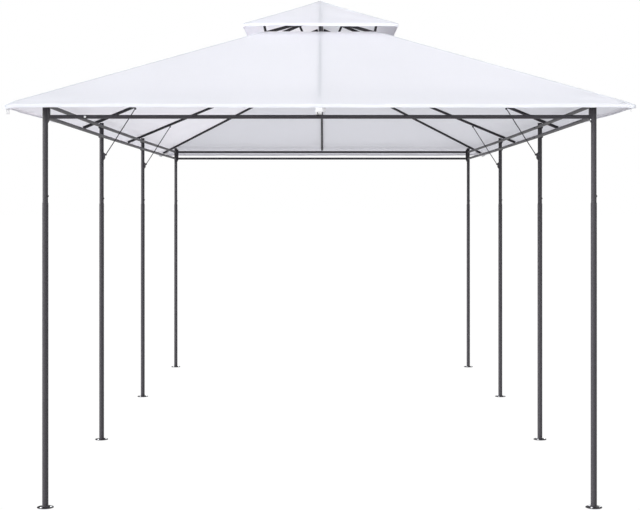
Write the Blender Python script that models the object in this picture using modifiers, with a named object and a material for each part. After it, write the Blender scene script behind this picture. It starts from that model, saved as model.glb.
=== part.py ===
"""Garden gazebo with a two-tier fabric roof on a frame of steel tubes.

Units are metres. The origin is the middle of the plan at ground level, X runs
across the roof, Y along its ridge and Z up. The front is at -Y.
"""
import math

import bmesh
import bpy
from mathutils import Matrix, Vector

# Roof plan and pitch
ROOF_HALF_WIDTH = 1.500
RIDGE_HALF_LENGTH = 1.555
PITCH = 0.4172
HIP_RUN = 0.9633
SIDE_APEX_Z = 2.5750
HIP_APEX_Z = 2.5610

# Vent between the two tiers of the roof
VENT_HALF_WIDTH = 0.335
VENT_RISE = 0.0765
TOP_TIER_HALF_WIDTH = 0.430

# Posts
CORNER_POST_X = 1.332
CORNER_POST_Y = 2.838
MIDDLE_POST_X = 1.375
MIDDLE_POST_Y = CORNER_POST_Y / 3
LOWER_TUBE_RADIUS = 0.0150
UPPER_TUBE_RADIUS = 0.0135
TUBE_JOINT_Z = 1.480
TUBE_JOINT_CHAMFER = 0.0006
FOOT_RADIUS = 0.0405
FOOT_THICKNESS = 0.0030
FOOT_CHAMFER = 0.0008

# Tubes of the beams and rafters
BEAM_RADIUS = 0.0095
LOWER_BEAM_Z = 1.897
UPPER_BEAM_Z = 1.956
RAFTER_RADIUS = 0.0090
SIDE_RAFTER_END_X = 1.487
HIP_RAFTER_END_X = 1.450
END_RAFTER_END_Y = 2.900
TOP_RAFTER_END_X = 0.415
TOP_END_RAFTER_END_Y = 1.935

# Hubs where rafters meet the two ridge tubes
HUB_RADIUS = 0.0140
HUB_DEPTH = 0.0200
COLLAR_RADIUS = 0.0270
COLLAR_BELOW = 0.0210
COLLAR_ABOVE = 0.0020
TOP_HUB_ABOVE = 0.0130

# Short stays that carry the top tier, measured across from the ridge
SIDE_STAY_X = 0.105
HIP_STAY_X = 0.3046
STAY_RADIUS = 0.0070

# Brackets welded to the posts, as distances from the post's axis and heights
BRACKET_ROOT = 0.0060
BRACKET_REACH = 0.0235
BRACKET_HALF_WIDTH = 0.0080
BRACKET_TOP_Z = 1.980
BRACKET_LOW_Z = 1.868
BRACKET_TAPER = 0.0200
LUG_REACH = 0.0220
LUG_HALF_WIDTH = 0.0070
LUG_TOP_Z = 1.806
LUG_LOW_Z = 1.752
LUG_TAPER = 0.0120

# Braces between the middle posts and their rafters
BRACE_RADIUS = 0.0030
BRACE_FOOT_Z = 1.786
BRACE_BEND = (1.300, 1.862)
BRACE_TOP_X = 1.163

# Roof cloth
CLOTH_THICKNESS = 0.0030
CLOTH_LIFT = 0.0102
MAIN_HEM = 0.0175
TOP_HEM = 0.0130

# Working values
GAP = 0.0003
WELD_DISTANCE = 0.00005
TURNED_STEPS = 24
TUBE_BEVEL_RESOLUTION = 6
ROD_BEVEL_RESOLUTION = 3
PEG_TURN = math.radians(5.0)
RIDGE_END_INSET = 0.0060

# Finishes as colour, roughness and metallic value
FRAME_PAINT = ((0.052, 0.050, 0.055, 1.0), 0.42, 0.25)
ROOF_CLOTH = ((0.84, 0.87, 0.92, 1.0), 0.85, 0.0)

ENDS = (("front", -1), ("back", 1))
SIDES = (("left", -1), ("right", 1))
HIP_LENGTH_PER_X = math.hypot(1.0, HIP_RUN)
HIP_SLOPE = PITCH / HIP_LENGTH_PER_X
END_PITCH = PITCH / HIP_RUN


def clear_scene():
    """Remove every object of the open file."""
    for old_object in list(bpy.data.objects):
        bpy.data.objects.remove(old_object)


def new_collection(name):
    """Return a new collection linked to the scene."""
    collection = bpy.data.collections.new(name)
    bpy.context.scene.collection.children.link(collection)
    return collection


def paint(piece, finish):
    """Give a piece its own material."""
    colour, roughness, metallic = finish
    material = bpy.data.materials.new(piece.name + "_finish")
    material.use_nodes = True
    shader = material.node_tree.nodes["Principled BSDF"]
    shader.inputs["Base Color"].default_value = colour
    shader.inputs["Roughness"].default_value = roughness
    shader.inputs["Metallic"].default_value = metallic
    piece.data.materials.append(material)


def tube(name, points, radius, collection, resolution=TUBE_BEVEL_RESOLUTION):
    """Round tube along straight runs between points, with closed ends."""
    curve = bpy.data.curves.new(name, "CURVE")
    curve.dimensions = "3D"
    curve.bevel_depth = radius
    curve.bevel_resolution = resolution
    curve.use_fill_caps = True
    spline = curve.splines.new("POLY")
    spline.points.add(len(points) - 1)
    for point, place in zip(spline.points, points):
        point.co = (*place, 1.0)
    piece = bpy.data.objects.new(name, curve)
    collection.objects.link(piece)
    return piece


def turned(name, outline, location, collection):
    """Solid of revolution about Z from (radius, height) points, top to bottom."""
    mesh = bpy.data.meshes.new(name)
    corners = [(radius, 0.0, height) for radius, height in outline]
    mesh.from_pydata(corners, [(i, i + 1) for i in range(len(corners) - 1)], [])
    piece = bpy.data.objects.new(name, mesh)
    piece.location = location
    collection.objects.link(piece)
    screw = piece.modifiers.new("Turn", "SCREW")
    screw.steps = TURNED_STEPS
    screw.render_steps = TURNED_STEPS
    screw.use_merge_vertices = True
    screw.merge_threshold = WELD_DISTANCE
    screw.use_smooth_shade = False
    return piece


def peg(name, radius, low_z, high_z, place, collection):
    """Upright round peg between two heights, turned so no edge lies on a tube's edge."""
    outline = [(0.0, high_z), (radius, high_z), (radius, low_z), (0.0, low_z)]
    piece = turned(name, outline, (*place, 0.0), collection)
    piece.rotation_euler.z = PEG_TURN
    return piece


def as_mesh(piece):
    """Replace a curve object by a welded mesh object of the same name."""
    bpy.context.view_layer.update()
    graph = bpy.context.evaluated_depsgraph_get()
    mesh = bpy.data.meshes.new_from_object(piece.evaluated_get(graph))
    work = bmesh.new()
    work.from_mesh(mesh)
    bmesh.ops.remove_doubles(work, verts=work.verts, dist=WELD_DISTANCE)
    work.to_mesh(mesh)
    work.free()
    name = piece.name
    matrix = piece.matrix_world.copy()
    collection = piece.users_collection[0]
    bpy.data.objects.remove(piece)
    solid = bpy.data.objects.new(name, mesh)
    solid.matrix_world = matrix
    collection.objects.link(solid)
    return solid


def plate(name, outline, half_width, place, inward, collection):
    """Flat plate standing beside a post, from (distance from the axis, height) points."""
    curve = bpy.data.curves.new(name, "CURVE")
    curve.dimensions = "2D"
    curve.fill_mode = "BOTH"
    curve.extrude = half_width
    spline = curve.splines.new("POLY")
    spline.points.add(len(outline) - 1)
    for point, (distance, height) in zip(spline.points, outline):
        point.co = (distance, height, 0.0, 1.0)
    spline.use_cyclic_u = True
    piece = bpy.data.objects.new(name, curve)
    collection.objects.link(piece)
    inward_axis = Vector((*inward, 0.0))
    up = Vector((0.0, 0.0, 1.0))
    turn = Matrix((inward_axis, up, inward_axis.cross(up))).transposed()
    piece.matrix_world = Matrix.Translation((*place, 0.0)) @ turn.to_4x4()
    return as_mesh(piece)


def fuse(piece, others):
    """Join helper shapes to a piece so that they are one solid."""
    for other in others:
        other.hide_render = True
        other.display_type = "WIRE"
        union = piece.modifiers.new("Join " + other.name, "BOOLEAN")
        union.operation = "UNION"
        union.solver = "EXACT"
        union.object = other


def side_rafter_z(x):
    """Height of a side rafter's axis at a distance from the ridge."""
    return SIDE_APEX_Z - PITCH * abs(x)


def hip_rafter_z(x):
    """Height of a hip rafter's axis at a distance from the ridge."""
    return HIP_APEX_Z - PITCH * abs(x)


def end_rafter_z(y):
    """Height of an end rafter's axis at a distance from the middle."""
    return HIP_APEX_Z - END_PITCH * (abs(y) - RIDGE_HALF_LENGTH)


def hip_y(x):
    """Distance of the hip line from the middle, along the ridge."""
    return RIDGE_HALF_LENGTH + HIP_RUN * abs(x)


def post_top(rafter_z, slope):
    """Height of a flat tube top that just clears the sloping rafter on it."""
    return rafter_z - RAFTER_RADIUS * math.hypot(1.0, slope) - UPPER_TUBE_RADIUS * slope - GAP


def post(name, x, y, top_z, collection):
    """Post in two tube sizes on a round foot plate."""
    outline = [
        (0.0, top_z),
        (UPPER_TUBE_RADIUS, top_z),
        (UPPER_TUBE_RADIUS, TUBE_JOINT_Z),
        (LOWER_TUBE_RADIUS, TUBE_JOINT_Z - TUBE_JOINT_CHAMFER),
        (LOWER_TUBE_RADIUS, FOOT_THICKNESS),
        (FOOT_RADIUS - FOOT_CHAMFER, FOOT_THICKNESS),
        (FOOT_RADIUS, FOOT_THICKNESS - FOOT_CHAMFER),
        (FOOT_RADIUS, 0.0),
        (0.0, 0.0),
    ]
    return turned(name, outline, (x, y, 0.0), collection)


def make_corner_posts(parts, helpers):
    """Four corner posts, each with two tapered brackets for the beam ends."""
    bracket = [
        (BRACKET_ROOT, BRACKET_TOP_Z),
        (BRACKET_REACH, BRACKET_TOP_Z),
        (BRACKET_REACH, BRACKET_LOW_Z + BRACKET_TAPER),
        (UPPER_TUBE_RADIUS, BRACKET_LOW_Z),
        (BRACKET_ROOT, BRACKET_LOW_Z),
    ]
    top_z = post_top(hip_rafter_z(CORNER_POST_X), HIP_SLOPE)
    for end, y_sign in ENDS:
        for side, x_sign in SIDES:
            name = f"post_{end}_{side}"
            place = (x_sign * CORNER_POST_X, y_sign * CORNER_POST_Y)
            piece = post(name, *place, top_z, parts)
            across = plate(name + "_bracket_x", bracket, BRACKET_HALF_WIDTH, place, (-x_sign, 0.0), helpers)
            along = plate(name + "_bracket_y", bracket, BRACKET_HALF_WIDTH, place, (0.0, -y_sign), helpers)
            fuse(piece, (across, along))
            paint(piece, FRAME_PAINT)


def make_middle_posts(parts, helpers):
    """Four posts along the sides, each with a lug that takes its brace."""
    lug = [
        (BRACKET_ROOT, LUG_TOP_Z),
        (LUG_REACH, LUG_TOP_Z - LUG_TAPER),
        (LUG_REACH, LUG_LOW_Z + LUG_TAPER),
        (UPPER_TUBE_RADIUS, LUG_LOW_Z),
        (BRACKET_ROOT, LUG_LOW_Z),
    ]
    top_z = post_top(side_rafter_z(MIDDLE_POST_X), PITCH)
    for end, y_sign in ENDS:
        for side, x_sign in SIDES:
            name = f"post_middle_{end}_{side}"
            place = (x_sign * MIDDLE_POST_X, y_sign * MIDDLE_POST_Y)
            piece = post(name, *place, top_z, parts)
            holder = plate(name + "_lug", lug, LUG_HALF_WIDTH, place, (-x_sign, 0.0), helpers)
            fuse(piece, (holder,))
            paint(piece, FRAME_PAINT)


def make_beams(parts):
    """Two parallel tubes on each of the four sides, under the eaves."""
    inset = BRACKET_REACH + GAP
    end_x = CORNER_POST_X - inset
    end_y = CORNER_POST_Y - inset
    pass_x = MIDDLE_POST_X - UPPER_TUBE_RADIUS - BEAM_RADIUS - GAP
    for level, z in (("lower", LOWER_BEAM_Z), ("upper", UPPER_BEAM_Z)):
        for end, y_sign in ENDS:
            y = y_sign * CORNER_POST_Y
            line = [(-end_x, y, z), (end_x, y, z)]
            paint(tube(f"beam_{end}_{level}", line, BEAM_RADIUS, parts), FRAME_PAINT)
        for side, x_sign in SIDES:
            line = [
                (x_sign * CORNER_POST_X, -end_y, z),
                (x_sign * pass_x, -MIDDLE_POST_Y, z),
                (x_sign * pass_x, MIDDLE_POST_Y, z),
                (x_sign * CORNER_POST_X, end_y, z),
            ]
            paint(tube(f"beam_{side}_{level}", line, BEAM_RADIUS, parts), FRAME_PAINT)


def hip_point(x_sign, y_sign, x, rise=0.0):
    """Point on a hip rafter's axis at a distance from the ridge."""
    return (x_sign * x, y_sign * hip_y(x), hip_rafter_z(x) + rise)


def side_point(x_sign, y_sign, x, rise=0.0):
    """Point on a side rafter's axis at a distance from the ridge."""
    return (x_sign * x, y_sign * MIDDLE_POST_Y, side_rafter_z(x) + rise)


def end_point(y_sign, y, rise=0.0):
    """Point on an end rafter's axis at a distance from the middle."""
    return (0.0, y_sign * y, end_rafter_z(y) + rise)


def make_rafters(parts):
    """Hip, side and end rafters of the main roof, from the ridge hubs to the eaves."""
    from_hub = HUB_RADIUS + GAP + RAFTER_RADIUS * PITCH
    from_collar = COLLAR_RADIUS + GAP + RAFTER_RADIUS * PITCH
    hip_start = from_collar / HIP_LENGTH_PER_X
    for end, y_sign in ENDS:
        for side, x_sign in SIDES:
            hip = [hip_point(x_sign, y_sign, x) for x in (hip_start, HIP_RAFTER_END_X)]
            paint(tube(f"hip_rafter_{end}_{side}", hip, RAFTER_RADIUS, parts), FRAME_PAINT)
            common = [side_point(x_sign, y_sign, x) for x in (from_hub, SIDE_RAFTER_END_X)]
            paint(tube(f"side_rafter_{end}_{side}", common, RAFTER_RADIUS, parts), FRAME_PAINT)
        end_start = RIDGE_HALF_LENGTH + from_collar
        line = [end_point(y_sign, y) for y in (end_start, END_RAFTER_END_Y)]
        paint(tube(f"end_rafter_{end}", line, RAFTER_RADIUS, parts), FRAME_PAINT)


def make_main_ridge(parts, helpers):
    """Ridge tube with the king posts that carry the top ridge."""
    half_length = RIDGE_HALF_LENGTH - RIDGE_END_INSET
    ends = [(0.0, sign * half_length, HIP_APEX_Z) for sign in (-1, 1)]
    ridge = as_mesh(tube("ridge_tube", ends, BEAM_RADIUS, parts))
    low_z = HIP_APEX_Z - HUB_DEPTH
    king_top_z = HIP_APEX_Z + VENT_RISE - HUB_DEPTH - COLLAR_ABOVE - GAP
    joined = []
    for end, y_sign in ENDS:
        for label, y in (("inner", MIDDLE_POST_Y), ("outer", RIDGE_HALF_LENGTH)):
            place = (0.0, y_sign * y)
            king = peg(f"king_post_{label}_{end}", HUB_RADIUS, low_z, king_top_z, place, helpers)
            joined.append(king)
        collar_low = HIP_APEX_Z - COLLAR_BELOW
        collar_high = HIP_APEX_Z + COLLAR_ABOVE
        place = (0.0, y_sign * RIDGE_HALF_LENGTH)
        joined.append(peg(f"ridge_collar_{end}", COLLAR_RADIUS, collar_low, collar_high, place, helpers))
    fuse(ridge, joined)
    paint(ridge, FRAME_PAINT)


def make_top_ridge(parts, helpers):
    """Ridge tube of the top tier with a hub or collar over each king post."""
    z = HIP_APEX_Z + VENT_RISE
    half_length = RIDGE_HALF_LENGTH - RIDGE_END_INSET
    ends = [(0.0, sign * half_length, z) for sign in (-1, 1)]
    ridge = as_mesh(tube("top_ridge_tube", ends, RAFTER_RADIUS, parts))
    joined = []
    for end, y_sign in ENDS:
        hub_place = (0.0, y_sign * MIDDLE_POST_Y)
        hub_low = z - HUB_DEPTH - COLLAR_ABOVE
        joined.append(peg(f"top_hub_{end}", HUB_RADIUS, hub_low, z + TOP_HUB_ABOVE, hub_place, helpers))
        collar_place = (0.0, y_sign * RIDGE_HALF_LENGTH)
        collar_low = z - HUB_DEPTH - COLLAR_ABOVE
        collar_high = z - COLLAR_ABOVE
        joined.append(peg(f"top_collar_{end}", COLLAR_RADIUS, collar_low, collar_high, collar_place, helpers))
    fuse(ridge, joined)
    paint(ridge, FRAME_PAINT)


def stay(name, foot, rafter_slope, outward, helpers):
    """Short stay square to the roof slope, from a main rafter up into a top rafter."""
    lean = Vector((*outward, 0.0)) * rafter_slope
    direction = (Vector((0.0, 0.0, 1.0)) + lean).normalized()
    start = Vector(foot) + direction * (RAFTER_RADIUS + GAP)
    finish = Vector(foot) + direction * (VENT_RISE * direction.z)
    return as_mesh(tube(name, [start, finish], STAY_RADIUS, helpers))


def make_top_rafters(parts, helpers):
    """Rafters of the top tier, each standing on a short stay."""
    from_hub = HUB_RADIUS + GAP + RAFTER_RADIUS * PITCH
    from_collar = COLLAR_RADIUS + GAP + RAFTER_RADIUS * PITCH
    hip_start = from_collar / HIP_LENGTH_PER_X
    for end, y_sign in ENDS:
        for side, x_sign in SIDES:
            name = f"top_hip_rafter_{end}_{side}"
            line = [hip_point(x_sign, y_sign, x, VENT_RISE) for x in (hip_start, TOP_RAFTER_END_X)]
            piece = as_mesh(tube(name, line, RAFTER_RADIUS, parts))
            outward = (x_sign / HIP_LENGTH_PER_X, y_sign * HIP_RUN / HIP_LENGTH_PER_X)
            foot = hip_point(x_sign, y_sign, HIP_STAY_X)
            fuse(piece, (stay(name + "_stay", foot, HIP_SLOPE, outward, helpers),))
            paint(piece, FRAME_PAINT)

            name = f"top_side_rafter_{end}_{side}"
            line = [side_point(x_sign, y_sign, x, VENT_RISE) for x in (from_hub, TOP_RAFTER_END_X)]
            piece = as_mesh(tube(name, line, RAFTER_RADIUS, parts))
            foot = side_point(x_sign, y_sign, SIDE_STAY_X)
            fuse(piece, (stay(name + "_stay", foot, PITCH, (x_sign, 0.0), helpers),))
            paint(piece, FRAME_PAINT)
        ends = (RIDGE_HALF_LENGTH + from_collar, TOP_END_RAFTER_END_Y)
        line = [end_point(y_sign, y, VENT_RISE) for y in ends]
        paint(tube(f"top_end_rafter_{end}", line, RAFTER_RADIUS, parts), FRAME_PAINT)


def make_braces(parts):
    """Bent rods from the middle posts' lugs up to their rafters."""
    bend_x, bend_z = BRACE_BEND
    foot_x = MIDDLE_POST_X - LUG_REACH - GAP - BRACE_RADIUS
    rafter_underside = side_rafter_z(BRACE_TOP_X) - RAFTER_RADIUS * math.hypot(1.0, PITCH)
    top_z = rafter_underside - BRACE_RADIUS - GAP
    for end, y_sign in ENDS:
        for side, x_sign in SIDES:
            y = y_sign * MIDDLE_POST_Y
            line = [
                (x_sign * foot_x, y, BRACE_FOOT_Z),
                (x_sign * bend_x, y, bend_z),
                (x_sign * BRACE_TOP_X, y, top_z),
            ]
            rod = tube(f"brace_{end}_{side}", line, BRACE_RADIUS, parts, ROD_BEVEL_RESOLUTION)
            paint(rod, FRAME_PAINT)


def cloth_ring(x, drop, rise):
    """Eight points round the roof at one distance from the ridge, clockwise from above."""
    quarter = [
        (x, hip_y(x), hip_rafter_z(x)),
        (x, MIDDLE_POST_Y, side_rafter_z(x)),
    ]
    half = quarter + [(px, -py, pz) for px, py, pz in reversed(quarter)]
    whole = half + [(-px, py, pz) for px, py, pz in reversed(half)]
    return [(px, py, pz + rise + CLOTH_LIFT - drop) for px, py, pz in whole]


def cloth(name, rings, collection):
    """Roof cloth lofted through rings, thickened outwards."""
    work = bmesh.new()
    rows = [[work.verts.new(point) for point in ring] for ring in rings]
    for inner, outer in zip(rows, rows[1:]):
        for i in range(len(inner)):
            j = (i + 1) % len(inner)
            work.faces.new((inner[i], inner[j], outer[j], outer[i]))
    bmesh.ops.remove_doubles(work, verts=work.verts, dist=WELD_DISTANCE)
    bmesh.ops.dissolve_degenerate(work, edges=work.edges, dist=WELD_DISTANCE)
    mesh = bpy.data.meshes.new(name)
    work.to_mesh(mesh)
    work.free()
    piece = bpy.data.objects.new(name, mesh)
    collection.objects.link(piece)
    shell = piece.modifiers.new("Thickness", "SOLIDIFY")
    shell.thickness = CLOTH_THICKNESS
    shell.offset = 1.0
    shell.use_even_offset = True
    paint(piece, ROOF_CLOTH)
    return piece


def make_roof_cloths(parts):
    """Main roof cloth with its vent opening, and the top cloth that covers the vent."""
    main_edge = ROOF_HALF_WIDTH - CLOTH_THICKNESS
    main_rings = [
        cloth_ring(VENT_HALF_WIDTH, 0.0, 0.0),
        cloth_ring(main_edge, 0.0, 0.0),
        cloth_ring(main_edge, MAIN_HEM, 0.0),
    ]
    cloth("main_roof_cloth", main_rings, parts)
    top_edge = TOP_TIER_HALF_WIDTH - CLOTH_THICKNESS
    top_rings = [
        cloth_ring(0.0, 0.0, VENT_RISE),
        cloth_ring(top_edge, 0.0, VENT_RISE),
        cloth_ring(top_edge, TOP_HEM, VENT_RISE),
    ]
    cloth("top_roof_cloth", top_rings, parts)


def main():
    """Build the whole gazebo."""
    clear_scene()
    parts = new_collection("garden_gazebo")
    helpers = new_collection("helper_shapes")
    make_corner_posts(parts, helpers)
    make_middle_posts(parts, helpers)
    make_beams(parts)
    make_rafters(parts)
    make_main_ridge(parts, helpers)
    make_top_ridge(parts, helpers)
    make_top_rafters(parts, helpers)
    make_braces(parts)
    make_roof_cloths(parts)


main()
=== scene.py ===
"""Looks of a garden gazebo with a two-tier fabric roof on a frame of steel tubes.

Units are metres. X runs across the roof, Y along its ridge and Z up, and the front
is at -Y. The sizes that belong to the frame are read from its solids.
"""
import math

import bmesh
import bpy
import numpy as np
from bpy.props import FloatProperty, FloatVectorProperty, IntProperty, PointerProperty
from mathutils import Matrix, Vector, noise


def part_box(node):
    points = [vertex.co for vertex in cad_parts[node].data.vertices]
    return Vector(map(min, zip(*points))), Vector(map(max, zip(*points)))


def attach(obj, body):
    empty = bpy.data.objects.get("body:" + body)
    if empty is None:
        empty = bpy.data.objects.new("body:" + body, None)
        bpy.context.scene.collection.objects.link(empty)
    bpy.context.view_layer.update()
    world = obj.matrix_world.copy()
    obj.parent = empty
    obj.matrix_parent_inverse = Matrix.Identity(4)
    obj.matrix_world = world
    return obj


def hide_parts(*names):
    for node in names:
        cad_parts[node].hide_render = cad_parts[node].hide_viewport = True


bl_info = {
    "name": "Garden Gazebo",
    "version": (1, 0, 0),
    "blender": (4, 5, 0),
    "location": "3D View > Sidebar > Gazebo",
    "description": "Dresses a tube-framed garden gazebo with its fabric roof, fittings and finishes",
    "category": "Object",
}

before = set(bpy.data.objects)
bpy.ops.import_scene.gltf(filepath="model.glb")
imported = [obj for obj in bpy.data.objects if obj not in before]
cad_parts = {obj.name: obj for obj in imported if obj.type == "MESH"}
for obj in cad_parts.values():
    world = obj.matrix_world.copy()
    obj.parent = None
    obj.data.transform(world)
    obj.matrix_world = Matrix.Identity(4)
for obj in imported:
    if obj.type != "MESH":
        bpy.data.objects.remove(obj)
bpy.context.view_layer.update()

BODY = "root"
FLOOR_RADIUS = 220.0
ENDS = (-1, 1)
CORNERS = [(x_sign, y_sign) for y_sign in ENDS for x_sign in ENDS]
CLOTH_NODES = ("main_roof_cloth", "top_roof_cloth")


def node_points(node):
    """Places of a node's corners, each once."""
    places = [tuple(vertex.co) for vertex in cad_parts[node].data.vertices]
    return np.unique(np.round(np.array(places), 6), axis=0)


def tube_ends(node):
    """Middles of the two end faces of a straight tube, the inner one first."""
    places = node_points(node)
    middle = places.mean(axis=0)
    axis = np.linalg.svd(places - middle)[2][0]
    along = (places - middle) @ axis
    half = np.abs(along).max() / 2
    ends = [Vector(places[along * sign > half].mean(axis=0)) for sign in (-1, 1)]
    return sorted(ends, key=lambda end: end.length_squared - end.z ** 2)


def middle_of(node):
    """Middle of a node's box."""
    low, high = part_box(node)
    return (low + high) / 2


def extent(node, axis):
    """Length of a node's box along one axis."""
    low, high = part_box(node)
    return high[axis] - low[axis]


# Sizes read from the frame
HIP_IN, HIP_OUT = tube_ends("hip_rafter_back_right")
SIDE_IN, SIDE_OUT = tube_ends("side_rafter_back_right")
END_IN, END_OUT = tube_ends("end_rafter_back")
HIP_RUN = (HIP_OUT.y - HIP_IN.y) / (HIP_OUT.x - HIP_IN.x)
PITCH = (HIP_IN.z - HIP_OUT.z) / (HIP_OUT.x - HIP_IN.x)
SLOPE = math.hypot(1.0, PITCH)
HIP_SLANT = math.hypot(1.0, HIP_RUN)
RIDGE_HALF_LENGTH = HIP_IN.y - HIP_RUN * HIP_IN.x
HIP_APEX_Z = HIP_IN.z + PITCH * HIP_IN.x
SIDE_LIFT = SIDE_IN.z + PITCH * SIDE_IN.x - HIP_APEX_Z
MIDDLE_Y = SIDE_IN.y
VENT_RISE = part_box("top_hip_rafter_back_right")[1].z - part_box("hip_rafter_back_right")[1].z
TOP_HIP_END_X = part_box("top_hip_rafter_back_right")[1].x
RAFTER_RADIUS = extent("end_rafter_back", 0) / 2
BEAM_RADIUS = extent("beam_back_lower", 2) / 2
LOWER_BEAM_Z = middle_of("beam_back_lower").z
UPPER_BEAM_Z = middle_of("beam_back_upper").z
BEAM_END_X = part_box("beam_back_lower")[1].x
SIDE_BEAM_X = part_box("beam_right_lower")[1].x - BEAM_RADIUS
CORNER_POST = middle_of("post_back_right")
MIDDLE_POST = middle_of("post_middle_back_right")
FOOT_RADIUS = extent("post_back_right", 0) / 2
MAIN_EAVE_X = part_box("main_roof_cloth")[1].x
TOP_EAVE_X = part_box("top_roof_cloth")[1].x
MAIN_HEM_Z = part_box("main_roof_cloth")[0].z
TOP_HEM_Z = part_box("top_roof_cloth")[0].z
VENT_X = float(np.abs(node_points("main_roof_cloth")[:, 0]).min())

# Sizes of the frame that its boxes don't give
UPPER_TUBE_RADIUS = 0.0135
TUBE_JOINT_Z = 1.480
BRACKET_HALF_WIDTH = 0.0080
BRACKET_LOW_Z = 1.868
FOOT_PLATE_THICKNESS = 0.0030

# How the cloths differ from their solids: vent edge further in, eaves short of it, hems up and down
VENT_OVERLAP = 0.0120
EAVE_INSET = 0.0020
MAIN_HEM_LIFT = 0.0015
TOP_HEM_DROP = 0.0025

# Places of the trim: hem stitches out from the eave and seams in from it, bolt heads let into their
# tubes, the corner loops, and the bolts through the end beams
HEM_FACE = 0.0019
SEAM_INSET = 0.0010
SEAT = 0.0002
LOOP_X = 1.4800
END_BEAM_BOLT_X = 1.138

# How meshes are made: sharp edges, finer steps near the rafters, and the eight faces of a stitch
SHARP_ANGLE = math.radians(38.0)
STEP_PULL = 0.55
STITCH_FACES = [(0, 1, 4), (1, 2, 4), (2, 3, 4), (3, 0, 4), (1, 0, 5), (2, 1, 5), (3, 2, 5), (0, 3, 5)]


class GazeboStage(bpy.types.PropertyGroup):
    """Camera and light of the studio."""

    camera_place: FloatVectorProperty(
        name="Camera Place", description="Where the camera stands, a little under eye height",
        default=(0.026, -9.322, 1.4625), subtype="TRANSLATION", unit="LENGTH")
    camera_lens: FloatProperty(
        name="Lens", description="Focal length in millimetres on a 36 mm sensor", default=75.09, min=10.0)
    camera_shift: FloatVectorProperty(
        name="Lens Shift", description="Shift of the picture across and upwards, as a share of its width",
        size=2, default=(-0.00766, -0.0761))
    low_lights: FloatVectorProperty(
        name="Low Lights",
        description="Strengths in front, front left, left, back left, back right and front right",
        size=6, default=(4.5, 11.4, 12.0, 2.2, 4.2, 2.8), min=0.0)
    high_light: FloatProperty(
        name="High Light", description="Strength of the high light on the right", default=0.9, min=0.0)
    light_focus: FloatProperty(
        name="Light Focus", description="How narrow the lights are, as a power of the cosine", default=10.0,
        min=1.0)
    floor_white: FloatProperty(
        name="Floor White", description="Brightness of the pale floor as the camera sees it",
        default=0.985, min=0.0)
    floor_light: FloatProperty(
        name="Floor Light", description="Light that the pale floor gives to the gazebo",
        default=0.985, min=0.0)
    floor_albedo: FloatProperty(
        name="Floor Albedo", description="Share of light that the floor scatters, which takes soft shadows",
        default=0.03, min=0.0, max=1.0)


class GazeboCanopy(bpy.types.PropertyGroup):
    """Shape of the two roof cloths."""

    thickness: FloatProperty(
        name="Cloth Thickness", description="Thickness of the woven cloth", default=0.0008, unit="LENGTH")
    sag: FloatProperty(
        name="Sag", description="How far the cloth hangs down in the middle of the longest bay",
        default=0.017, unit="LENGTH")
    ripple: FloatProperty(
        name="Ripple", description="Height of the broad unevenness of the cloth between rafters",
        default=0.0035, unit="LENGTH")
    pucker: FloatProperty(
        name="Pucker", description="Height of the small puckers that the hem's stitching pulls up",
        default=0.0011, unit="LENGTH")
    corner_fold: FloatProperty(
        name="Corner Folds", description="Height of the folds that run in from the corners",
        default=0.0030, unit="LENGTH")
    corner_droop: FloatProperty(
        name="Corner Droop", description="How far a roof corner hangs down past its rafter's end",
        default=0.0090, unit="LENGTH")
    ridge_peak: FloatProperty(
        name="Ridge Peak", description="How far the top cloth is pushed up over the ends of its ridge",
        default=0.0110, unit="LENGTH")
    seam_width: FloatProperty(
        name="Seam Width", description="Width of a lapped seam", default=0.020, unit="LENGTH")
    stitch_pitch: FloatProperty(
        name="Stitch Pitch", description="Distance from stitch to stitch", default=0.005, unit="LENGTH")
    bay_steps: IntProperty(
        name="Bay Steps", description="Quads across a bay of the long sides", default=76, min=8)
    slope_steps: IntProperty(
        name="Slope Steps", description="Quads up the slope of the main roof", default=46, min=8)


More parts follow.
